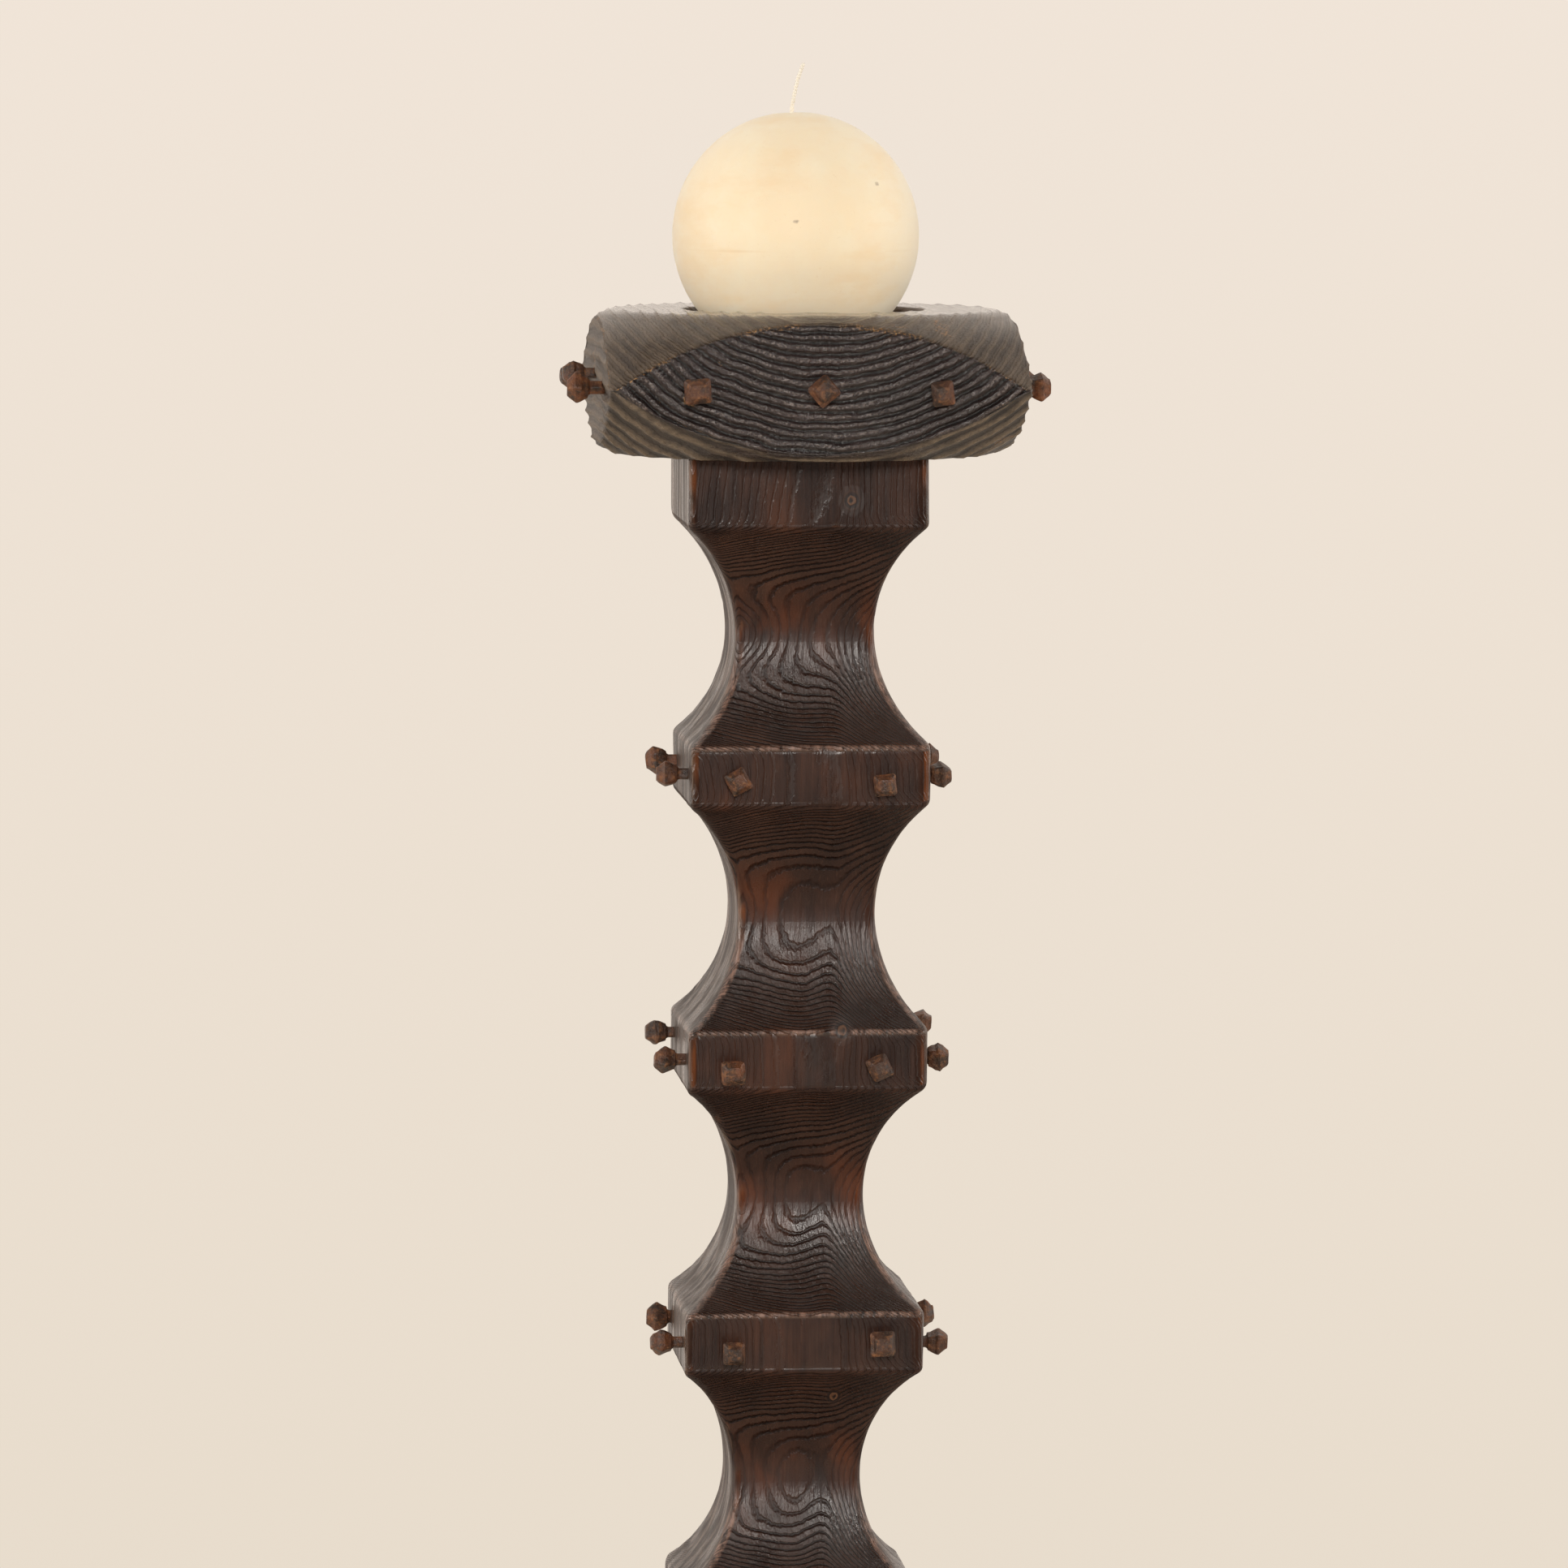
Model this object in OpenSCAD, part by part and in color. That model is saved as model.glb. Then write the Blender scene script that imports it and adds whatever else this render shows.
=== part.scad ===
// Tall floor candlestick: a scalloped timber post between two turned square
// blocks, studded with forged nails, with a ball candle in the top recess.

/* [Post] */
// Width of the square timber post
post_w = 97; // [80:1:110]
// Number of scalloped necks cut along the post
neck_count = 8; // [4:1:10]
// Distance from one studded band to the next
band_pitch = 115; // [105:1:130]
// Height of a studded band
band_h = 24; // [20:1:30]
// Height of the plain band under the head block and above the base block
end_band_h = 28.5; // [24:0.5:36]
// Length of the topmost neck, cut a little shorter than the others
first_neck_h = 88; // [80:1:100]
// Chamfer along the four upright corners of the post
corner_chamfer = 3; // [1:0.5:4]

/* [Head block] */
// Width of the square head block
head_w = 169; // [150:1:190]
// Thickness of the head block
head_h = 58; // [50:0.5:70]
// Radius of the candle recess
recess_r = 48; // [44:1:52]
// Depth of the candle recess
recess_depth = 18; // [14:1:22]

/* [Base block] */
// Width of the square base block
base_w = 240; // [220:1:280]
// Thickness of the base block
base_h = 70; // [60:1:85]
// Depth of the socket that the post stands in
socket_depth = 12; // [8:1:16]

/* [Candle] */
// Radius of the ball candle
candle_r = 50; // [45:1:52]
// Radius of the flat that the candle stands on
candle_flat_r = 15; // [12:1:20]
// Radius of the wick
wick_r = 0.8; // [0.6:0.1:1.2]
// Free length of the wick above the wax
wick_free = 20; // [10:1:26]

/* [Studs] */
// Width across the widest part of a forged stud head
stud_head_w = 9.4; // [8:0.2:12]
// Length of a forged stud head along its nail
stud_head_l = 8.4; // [7:0.2:10]
// Width of the square nail shank
shank_w = 4.4; // [2.6:0.2:5]
// How deep a nail is driven into the wood
shank_depth = 14; // [10:0.5:15]

/* [Hidden] */
$fn = 96;
skin = 0.5;                       // overshoot of a cutting tool past an open face

neck_h = band_pitch - band_h;
// Width left at the middle of each neck, from the top one down: each was cut by hand
waist_widths = [56, 56, 52, 52, 54, 55, 53, 55, 54, 55];

post_visible = 2 * end_band_h + first_neck_h
    + (neck_count - 1) * (band_h + neck_h);
post_bottom = base_h - socket_depth;
post_top = base_h + post_visible;
head_top = post_top + head_h;
first_band_top = post_top - end_band_h - first_neck_h;
function band_mid(k) = first_band_top - (k - 1) * band_pitch - band_h / 2;

tip_sink = 0.5;                    // how far a block's corner tips lie below mid height
rim_drop = 3.1;                   // fall of a block's top from its flat to its faces
rim_inset = 7;                    // the flat's radius is this much under half the width
tip_trim = 1.2;                   // how much the lathe took off the corner tips
head_shift = 1.5;                 // the head block sits this far right of the post's axis
candle_shift = -1.5;              // the ball sits this far left of it, loose in the recess
wick_shift = -3.4;                // the wick comes out of the ball off its middle

candle_sag = candle_r - sqrt(candle_r * candle_r - candle_flat_r * candle_flat_r);
candle_floor = head_top - recess_depth;
candle_mid = candle_floor + candle_r - candle_sag;
wick_lean = 14;                   // degrees from upright
wick_straight = 4;                // the stretch above the wax before the wick leans

screw_r = 4;
screw_hex = 13;                   // across flats
screw_hex_h = 5.5;
washer_r = 12;
washer_t = 2;
hole_slack = 0.5;                 // radial clearance of a screw in the piece it holds down
head_screw_l = 100;
head_bore_r = 14;
head_bore_depth = 9;
base_screw_l = 105;
base_bore_r = 13;
base_bore_depth = 18;
base_screw_at = 24;               // each base screw's distance from both centre planes
dowel_r = 6;
dowel_l = 50;
dowel_at = 30;

stud_tip_w = 4.2;                 // the small square facet on the end of a stud
stud_neck_w = 6.6;                // where the head meets its shank
stud_waist = 4.6;                 // from the shank to the widest part
head_stud_drop = 1;               // studs sit this far below a block's mid height
head_stud_z = post_top + head_h / 2 - head_stud_drop;
band_stud_drop = 1;
band_stud_at = 30;
head_stud_at = 48.5;
base_stud_at = 70;
stud_gap_min = 1.2;               // shank showing between the wood and the head
stud_gap_max = 4.4;
base_stud_gap = 3;

// Studs on the front, from the head block down: place along the face, height above the
// row's own line, spin. The rows that are not listed take the even spacing and a wobble.
front_studs = [
    [[-50, 0.8, 5], [0, 1.2, 40], [47.5, -0.4, 8]],
    [[-29.7, -0.1, 28], [29, -1.6, 5]],
    [[-31, -2.5, 3], [28.5, -1, 25]],
    [[-29.5, -1.5, 0], [31, 1.5, 2]]
];

// The same for the right face, from the front backward, and the left face, from the back
// forward. Each place ends with the stud's own gap from the wood.
right_studs = [
    [[-48.5, 0.6, 15, 2.6], [0.5, -0.5, 30, 2.2], [49, 1.2, 10, 3.4]],
    [[-30.8, 0.5, 12, 1.4], [31.5, 1.8, 34, 3]],
    [[-31.5, 0.4, 18, 1.7], [30.5, 7, 8, 1.4]]
];
left_studs = [
    [[-48.5, 1, 20, 2.5], [0, 4, 12, 4.6], [48.5, 0.5, 40, 6]],
    [[-28.8, 1.2, 20, 4.2], [29, 1, 12, 4.2]],
    [[-30.3, 3.7, 9, 3.2], [30.7, 0.2, 30, 4.1]]
];

// A repeatable number from -1 to 1 for each seed
function wobble(seed) = sin(seed * 137.508 + 40 * sin(seed * 71.3));

// Places of one row's studs on one side: [along the face, height, spin, gap]
function even_places(count, spacing, seed) = [
    for (i = [0 : count - 1]) [
        (i - (count - 1) / 2) * spacing + 1.5 * wobble(seed + i),
        1.5 * wobble(seed + i + 11),
        45 * wobble(seed + i + 23)
    ]
];
function gap(seed) =
    stud_gap_min + (stud_gap_max - stud_gap_min) * (0.5 + 0.5 * wobble(seed));
// side 0 is the front, then anticlockwise seen from above; row 0 is the head block
function row_places(row, side, count, spacing) =
    side == 0 && row < len(front_studs)
        ? front_studs[row]
    : side == 1 && row < len(right_studs)
        ? right_studs[row]
    : side == 3 && row < len(left_studs)
        ? left_studs[row]
    : even_places(count, spacing, 10 * row + 3 * side);

module on_side(side, half, z) {
    rotate([0, 0, 90 * side]) translate([0, -half, z]) rotate([90, 0, 0]) children();
}

// A bevelled prism's outline: shank side, widest, tip facet
module stud_outline() {
    polygon([
        [-stud_neck_w / 2, 0], [stud_neck_w / 2, 0],
        [stud_head_w / 2, stud_waist], [stud_tip_w / 2, stud_head_l],
        [-stud_tip_w / 2, stud_head_l], [-stud_head_w / 2, stud_waist]
    ]);
}

// The forged head: two bevelled prisms crossed at right angles
module stud_head() {
    intersection() {
        rotate([90, 0, 0]) linear_extrude(stud_head_w, center = true) stud_outline();
        rotate([90, 0, 90]) linear_extrude(stud_head_w, center = true) stud_outline();
    }
}

module shank(length) {
    translate([-shank_w / 2, -shank_w / 2, -shank_depth])
        cube([shank_w, shank_w, shank_depth + length]);
}

// One nail, its head standing off the wood by stand_off
module stud(spin, stand_off) {
    rotate([0, 0, spin]) {
        shank(stand_off + skin);
        translate([0, 0, stand_off]) stud_head();
    }
}

module stud_row(row, side, count, spacing, half, z, fixed_gap = 0) {
    places = row_places(row, side, count, spacing);
    color("saddlebrown")
    on_side(side, half, z)
        for (i = [0 : count - 1])
            translate([places[i][0], places[i][1], 0])
                stud(places[i][2],
                    len(places[i]) > 3 ? places[i][3]
                    : fixed_gap > 0 ? fixed_gap
                    : gap(7 * row + 5 * side + i));
}

// The holes that one side's nails are driven into
module stud_holes(row, side, count, spacing, half, z) {
    places = row_places(row, side, count, spacing);
    on_side(side, half, z)
        for (i = [0 : count - 1])
            translate([places[i][0], places[i][1], 0])
                rotate([0, 0, places[i][2]]) shank(skin);
}

// Fall of the turned shoulder from a face (t = 0) to a corner tip (t = 1)
function shoulder(t) = 0.72 * t + 0.28 * t * t;

// Lathe outline of a block, from its axis to its corner tips
function lathe_points(width, height) =
    let (
        half = width / 2,
        tip = half * sqrt(2) - tip_trim,
        tip_z = height / 2 - tip_sink,
        steps = 8,
        top_fall = height - tip_z - rim_drop,
        low_rise = tip_z - rim_drop
    )
    concat(
        [[0, 0], [half - rim_inset, 0]],
        [for (i = [0 : steps]) let (t = i / steps)
            [half + (tip - half) * t, rim_drop + low_rise * shoulder(t)]],
        [for (i = [steps : -1 : 0]) let (t = i / steps)
            [half + (tip - half) * t, height - rim_drop - top_fall * shoulder(t)]],
        [[half - rim_inset, height], [0, height]]
    );

// A square block whose corners were turned off on a lathe, so each face is lens shaped
module turned_block(width, height) {
    intersection() {
        translate([-width / 2, -width / 2, 0]) cube([width, width, height]);
        rotate_extrude() polygon(lathe_points(width, height));
    }
}

module post_blank() {
    diagonal = post_w * sqrt(2) - corner_chamfer * sqrt(2);
    length = post_top - post_bottom;
    translate([0, 0, post_bottom])
        intersection() {
            translate([-post_w / 2, -post_w / 2, 0]) cube([post_w, post_w, length]);
            rotate([0, 0, 45])
                translate([-diagonal / 2, -diagonal / 2, 0])
                    cube([diagonal, diagonal, length]);
        }
}

// The four round cuts of one neck, between two bands
module neck_cuts(top, height, waist) {
    depth = (post_w - waist) / 2;
    half = height / 2;
    r = (half * half + depth * depth) / (2 * depth);
    for (turn = [0, 90], side = [-1, 1])
        rotate([0, 0, turn])
            translate([side * (waist / 2 + r), 0, top - half])
                rotate([90, 0, 0])
                    cylinder(r = r, h = post_w + 2 * skin, center = true);
}

module head_screw_hole(r, depth) {
    translate([0, 0, post_top - depth]) cylinder(r = r, h = depth + head_h);
}

module dowel_set(extra = 0) {
    for (side = [-1, 1])
        translate([side * dowel_at, 0, post_top - dowel_l / 2 - extra])
            cylinder(r = dowel_r, h = dowel_l + 2 * extra);
}

module at_base_screws() {
    for (x = [-1, 1], y = [-1, 1])
        translate([x * base_screw_at, y * base_screw_at, 0]) children();
}

module post() {
    color([0.27, 0.16, 0.12])
    difference() {
        post_blank();
        neck_cuts(post_top - end_band_h, first_neck_h, waist_widths[0]);
        for (k = [1 : neck_count - 1])
            neck_cuts(band_mid(k) - band_h / 2, neck_h, waist_widths[k]);
        for (k = [1 : neck_count - 1], side = [0 : 3])
            stud_holes(k, side, 2, 2 * band_stud_at, post_w / 2, band_mid(k) - band_stud_drop);
        head_screw_hole(screw_r, head_screw_l - head_h + recess_depth + head_bore_depth);
        dowel_set(0);
        at_base_screws()
            cylinder(r = screw_r, h = base_bore_depth + base_screw_l);
    }
}

module head_block() {
    color([0.17, 0.16, 0.16])
    difference() {
        translate([head_shift, 0, post_top]) turned_block(head_w, head_h);
        translate([head_shift, 0, candle_floor])
            cylinder(r = recess_r, h = recess_depth + skin);
        translate([0, 0, candle_floor - head_bore_depth])
            cylinder(r = head_bore_r, h = head_bore_depth + skin);
        head_screw_hole(screw_r + hole_slack, skin);
        dowel_set(0);
        translate([head_shift, 0, 0])
            for (side = [0 : 3])
                stud_holes(0, side, 3, head_stud_at, head_w / 2, head_stud_z);
    }
}

module base_block() {
    color([0.17, 0.16, 0.16])
    difference() {
        turned_block(base_w, base_h);
        post_blank();
        at_base_screws() {
            translate([0, 0, -skin])
                cylinder(r = base_bore_r, h = base_bore_depth + skin);
            cylinder(r = screw_r + hole_slack, h = base_h);
        }
        for (side = [0 : 3])
            stud_holes(8, side, 3, base_stud_at, base_w / 2, base_h / 2 - head_stud_drop);
    }
}

// A coach screw pointing up, its washer face at z = 0
module coach_screw(length) {
    point = 2 * screw_r;
    cylinder(r = screw_r, h = length - point);
    translate([0, 0, length - point]) cylinder(r1 = screw_r, r2 = 0.6, h = point);
    translate([0, 0, -screw_hex_h])
        cylinder(d = screw_hex / cos(30), h = screw_hex_h, $fn = 6);
}

module washer() {
    difference() {
        cylinder(r = washer_r, h = washer_t);
        translate([0, 0, -skin]) cylinder(r = screw_r, h = washer_t + 2 * skin);
    }
}

module head_screw() {
    color("dimgray")
    translate([0, 0, candle_floor - head_bore_depth + washer_t])
        rotate([180, 0, 0]) coach_screw(head_screw_l);
}

module head_washer() {
    color("gray")
    translate([0, 0, candle_floor - head_bore_depth]) washer();
}

module head_dowels() {
    color("burlywood") dowel_set();
}

module base_screws() {
    color("dimgray")
    at_base_screws()
        translate([0, 0, base_bore_depth - washer_t]) coach_screw(base_screw_l);
}

module base_washers() {
    color("gray")
    at_base_screws() translate([0, 0, base_bore_depth - washer_t]) washer();
}

module head_studs(side) {
    translate([head_shift, 0, 0])
        stud_row(0, side, 3, head_stud_at, head_w / 2, head_stud_z);
}

module band_studs(k) {
    for (side = [0 : 3])
        stud_row(k, side, 2, 2 * band_stud_at, post_w / 2, band_mid(k) - band_stud_drop);
}

module base_studs(side) {
    stud_row(8, side, 3, base_stud_at, base_w / 2, base_h / 2 - head_stud_drop, base_stud_gap);
}

// The wick, standing up through the wax and leaning over above it
module candle_wick() {
    top = candle_mid + candle_r;
    color("ivory") {
        translate([wick_shift, 0, candle_floor])
            cylinder(r = wick_r, h = top + wick_straight - candle_floor, $fn = 24);
        translate([wick_shift, 0, top + wick_straight - skin])
            rotate([0, wick_lean, 0])
                cylinder(r = wick_r, h = wick_free - wick_straight + skin, $fn = 24);
    }
}

// A ball of wax with a flat to stand on, bored through for the wick
module candle_wax() {
    color("wheat")
    difference() {
        translate([candle_shift, 0, candle_mid]) sphere(r = candle_r);
        translate([candle_shift - candle_r, -candle_r, candle_floor - candle_r])
            cube([2 * candle_r, 2 * candle_r, candle_r]);
        translate([wick_shift, 0, candle_floor - skin])
            cylinder(r = wick_r, h = 2 * candle_r + 2 * skin, $fn = 24);
    }
}

candle_wax();
candle_wick();
head_block();
head_screw();
head_washer();
head_dowels();
post();
base_block();
base_screws();
base_washers();
head_studs(0);  // head_studs_front
head_studs(1);  // head_studs_right
head_studs(2);  // head_studs_back
head_studs(3);  // head_studs_left
band_studs(1);  // band_1_studs
band_studs(2);  // band_2_studs
band_studs(3);  // band_3_studs
band_studs(4);  // band_4_studs
band_studs(5);  // band_5_studs
band_studs(6);  // band_6_studs
band_studs(7);  // band_7_studs
base_studs(0);  // base_studs_front
base_studs(1);  // base_studs_right
base_studs(2);  // base_studs_back
base_studs(3);  // base_studs_left
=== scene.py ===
"""The candlestick's looks: brushed timber, forged studs and a ball candle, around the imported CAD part.

Meshes are made in millimetres in the frame's own axes and scaled to metres when they are stored."""
import math

import bpy
import numpy as np
from mathutils import Matrix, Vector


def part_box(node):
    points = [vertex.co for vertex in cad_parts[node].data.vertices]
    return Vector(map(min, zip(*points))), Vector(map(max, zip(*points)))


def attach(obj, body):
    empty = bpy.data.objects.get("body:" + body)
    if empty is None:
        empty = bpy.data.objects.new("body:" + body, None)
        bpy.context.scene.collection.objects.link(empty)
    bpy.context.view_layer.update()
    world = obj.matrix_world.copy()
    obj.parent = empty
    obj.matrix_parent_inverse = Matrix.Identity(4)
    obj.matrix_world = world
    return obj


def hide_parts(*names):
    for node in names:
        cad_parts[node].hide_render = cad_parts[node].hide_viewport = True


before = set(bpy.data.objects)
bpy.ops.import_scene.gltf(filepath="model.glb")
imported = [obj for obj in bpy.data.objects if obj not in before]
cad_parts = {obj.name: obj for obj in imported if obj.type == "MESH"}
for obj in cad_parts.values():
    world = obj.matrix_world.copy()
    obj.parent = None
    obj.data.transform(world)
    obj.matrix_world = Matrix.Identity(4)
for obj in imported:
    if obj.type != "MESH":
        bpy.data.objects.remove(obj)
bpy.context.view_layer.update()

MM = 0.001


# ---- noise
AXIS_PRIMES = (73856093, 19349663, 83492791)
SEED_PRIME = 2654435761
SCRAMBLE = ((15, 2246822519), (13, 3266489917))   # shift and factor of each round
LAST_SHIFT = 16
LOW_32 = 0xFFFFFFFF
CELL_START = 100000                               # keeps the lattice's cell numbers positive


def lattice(cells, seed):
    """A repeatable number from -1 to 1 for each lattice point, from its three cell numbers."""
    u = np.uint64
    h = u(seed * SEED_PRIME)
    for cell, prime in zip(cells, AXIS_PRIMES):
        h = h ^ cell.astype(u) * u(prime)
    h = h & u(LOW_32)
    for shift, factor in SCRAMBLE:
        h = (h ^ (h >> u(shift))) * u(factor) & u(LOW_32)
    h = h ^ (h >> u(LAST_SHIFT))
    return h.astype(np.float64) / (LOW_32 / 2) - 1.0


def noise(p, size, seed):
    """Smooth noise from -1 to 1 at points p (..., 3).

    size is a feature's size in mm, one number or one an axis, and each use has a seed of its own."""
    q = p / np.asarray(size, float)
    cell = np.floor(q)
    f = q - cell
    f = f * f * (3 - 2 * f)
    cell = cell.astype(np.int64) + CELL_START
    out = 0.0
    for corner in range(8):
        steps = [corner >> axis & 1 for axis in range(3)]
        parts = [f[..., axis] if step else 1 - f[..., axis] for axis, step in enumerate(steps)]
        weight = parts[0] * parts[1] * parts[2]
        out = out + weight * lattice([cell[..., axis] + step for axis, step in enumerate(steps)], seed)
    return out


def fractal(p, size, seed, octaves=3):
    """Noise summed over octaves, each half the size and half the strength of the last."""
    size = np.asarray(size, float)
    total = sum(noise(p, size / 2 ** k, seed + 17 * k) / 2 ** k for k in range(octaves))
    return total / sum(0.5 ** k for k in range(octaves))


def smooth(lo, hi, x):
    """0 at lo, 1 at hi, eased at both ends."""
    t = np.clip((x - lo) / (hi - lo), 0, 1)
    return t * t * (3 - 2 * t)


def smooth_min(a, b, k):
    """The smaller of a and b, blended where they are within k of each other."""
    h = np.clip(k - np.abs(a - b), 0, None) / k
    return np.minimum(a, b) - h * h * k / 4


# ---- meshes
def grid_normals(p):
    """Outward unit normals of a grid of rows and closed loops of columns."""
    across = np.roll(p, -1, axis=1) - np.roll(p, 1, axis=1)
    along = np.gradient(p, axis=0)
    n = np.cross(across, along)
    return n / np.maximum(np.linalg.norm(n, axis=-1, keepdims=True), 1e-9)


def make_object(name, verts_mm, loops, starts, attributes, smooth_faces=True):
    """An object from points, the faces' corners in a row, each face's first corner, and attributes."""
    mesh = bpy.data.meshes.new(name)
    mesh.vertices.add(len(verts_mm))
    mesh.vertices.foreach_set("co", (verts_mm * MM).astype(np.float32).ravel())
    mesh.loops.add(len(loops))
    mesh.loops.foreach_set("vertex_index", loops.astype(np.int32))
    mesh.polygons.add(len(starts))
    mesh.polygons.foreach_set("loop_start", starts.astype(np.int32))
    mesh.polygons.foreach_set("use_smooth", np.full(len(starts), smooth_faces))
    mesh.update(calc_edges=True)
    mesh.validate()
    for key, values in attributes.items():
        made = mesh.attributes.new(key, "FLOAT", "POINT")
        made.data.foreach_set("value", values.astype(np.float32).ravel())
    obj = bpy.data.objects.new(name, mesh)
    bpy.context.scene.collection.objects.link(obj)
    return obj


def grid_faces(rows, cols, offset=0):
    """(loops, starts) of a closed grid with both ends capped, wound outward for grid_normals."""
    i = np.arange(rows - 1)[:, None] * cols
    j = np.arange(cols)[None, :]
    k = (j + 1) % cols
    quads = np.stack([i + j, i + k, i + cols + k, i + cols + j], -1).reshape(-1) + offset
    first = np.arange(cols)[::-1] + offset
    last = (rows - 1) * cols + np.arange(cols) + offset
    starts = np.concatenate([np.arange(0, len(quads), 4), [len(quads), len(quads) + cols]])
    return np.concatenate([quads, first, last]), starts


def grid_object(name, p, attributes):
    """One closed grid as a smooth-shaded object."""
    rows, cols = p.shape[:2]
    loops, starts = grid_faces(rows, cols)
    return make_object(name, p.reshape(-1, 3), loops, starts, attributes)


def grids_object(name, grids):
    """Several closed grids in one flat-shaded object."""
    verts, loops, starts, points, corners = [], [], [], 0, 0
    for p in grids:
        rows, cols = p.shape[:2]
        grid_loops, grid_starts = grid_faces(rows, cols, points)
        verts.append(p.reshape(-1, 3))
        loops.append(grid_loops)
        starts.append(grid_starts + corners)
        points += rows * cols
        corners += len(grid_loops)
    parts = [np.concatenate(group) for group in (verts, loops, starts)]
    return make_object(name, *parts, {}, smooth_faces=False)


def box_mm(node):
    """The lowest and highest corner of a CAD node's box."""
    lo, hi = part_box(node)
    return np.array(lo) / MM, np.array(hi) / MM


# ---- timber
RIB_POWER = 2.6        # on end grain; a higher power makes the crevices narrower
CREST_POWER = 1.7      # elsewhere; a higher power makes the crests thinner


def ring_profile(number, end_grain):
    """Height, 0 to 1, of brushed growth rings.

    They are rounded ribs with narrow crevices on end grain, and elsewhere wide hollows with thin crests."""
    t = np.abs(2 * (number - np.floor(number)) - 1)
    return end_grain * (1 - t ** RIB_POWER) + (1 - end_grain) * t ** CREST_POWER


def uneven(r, spacing, seed):
    """Ring number at radius r, the rings being of uneven width."""
    p = np.stack([r, np.zeros_like(r), np.zeros_like(r)], -1)
    return r / spacing + 0.55 * noise(p, spacing * 4.3, seed) + 0.2 * noise(p, spacing * 1.7, seed + 5)


# Boxes are read from the CAD. The post's bands, pitch and waists repeat the CAD's numbers.
POST_LO, POST_HI = box_mm("post")
HEAD_LO, HEAD_HI = box_mm("head_block")
BASE_LO, BASE_HI = box_mm("base_block")
POST_HALF = (POST_HI[0] - POST_LO[0]) / 2
HEAD_HALF = (HEAD_HI[0] - HEAD_LO[0]) / 2
HEAD_MIDDLE = (HEAD_HI[0] + HEAD_LO[0]) / 2
POST_TOP = POST_HI[2]
END_BAND = 28.5        # height of the post's top band
FIRST_NECK = 88.0
PITCH = 115.0          # from one studded band to the next
BAND = 24.0
WAISTS = [56, 56, 52, 52, 54, 55, 53, 55]   # width left at each neck, from the top down
NECK_BLEND = 1.6       # how softly a neck's arc runs into its bands
NECK_SHIFT = 0.9       # the most a cut on the right, back or left is out of line in height
NECK_DEPTH = 0.8       # and in depth
BOW_DEPTHS = [0, 60, 127, 240, 357, 470, 960]       # below the post's top
BOW_X = [0.0, 0.3, 1.2, 0.4, -0.6, -1.6, 0.0]


def bow(z):
    """The post isn't quite straight: how far it wanders along X."""
    return np.interp(POST_TOP - z, BOW_DEPTHS, BOW_X)


def neck_list():
    """(top, bottom, waist) of each neck, from the top down."""
    out, top = [], POST_TOP - END_BAND
    for k, waist in enumerate(WAISTS):
        height = FIRST_NECK if k == 0 else PITCH - BAND
        out.append((top, top - height, float(waist)))
        top -= height + BAND
    return out


NECKS = neck_list()


def half_width(z, side):
    """Half width of the post at heights z on side 0 front, 1 right, 2 back or 3 left."""
    w = np.full_like(z, POST_HALF)
    for k, (top, bottom, waist) in enumerate(NECKS):
        # any spread of angles will do: each cut but the front's sits a little differently
        shift = NECK_SHIFT * math.sin(37.0 * k + 21.0 * side) if side else 0.0
        deep = NECK_DEPTH * math.sin(17.0 * k + 5.0 * side + 1.0) if side else 0.0
        half = (top - bottom) / 2
        depth = POST_HALF - waist / 2 + deep
        r = (half * half + depth * depth) / (2 * depth)
        dz = np.clip(z - (top + bottom) / 2 - shift, -r * 0.98, r * 0.98)
        cut = POST_HALF - depth + r - np.sqrt(r * r - dz * dz)
        near = np.abs(z - (top + bottom) / 2 - shift) < half + 6
        w = np.where(near, smooth_min(w, cut, NECK_BLEND), w)
    return w


# The knots on the front face: along X, below the post's top, radius
KNOTS = [
    (17.0, 17.0, 3.4), (13.5, 231.0, 3.4), (13.0, 382.0, 3.2), (-20.0, 640.0, 4.5), (9.0, 800.0, 4.0)
]
FLARE_REACH = 1.13     # how far a neck's flares go, in half heights of the neck
PITH_DEPTHS = [0, 74, 125, 160, 200, 300, 415, 600, 800]   # below the post's top
PITH_X = [26, 21, 14, 5, 2, 4, 0, 8, -4]
PITH_Y = 52.0          # the pith runs just behind the post, so the front's rings are wide arcs
RING_WIDTH = 1.35
SEAM_X = 12.0          # a seam of old branches on the front
SEAM_HALF = 10         # how far to its left the rings feel it
SEAM_TURN = 3.0        # how softly they turn at it
FAR_FROM_KNOT = 9.0    # in knot radii


def flare(z):
    """1 on the flare below each waist, -1 on the one above it, 0 at the waists and in the bands."""
    out = np.zeros_like(z)
    for top, bottom, waist in NECKS:
        u = ((top + bottom) / 2 - z) / ((top - bottom) / 2)
        out += np.where(np.abs(u) < FLARE_REACH, np.sin(math.pi * u / FLARE_REACH), 0.0)
    return out


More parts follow.
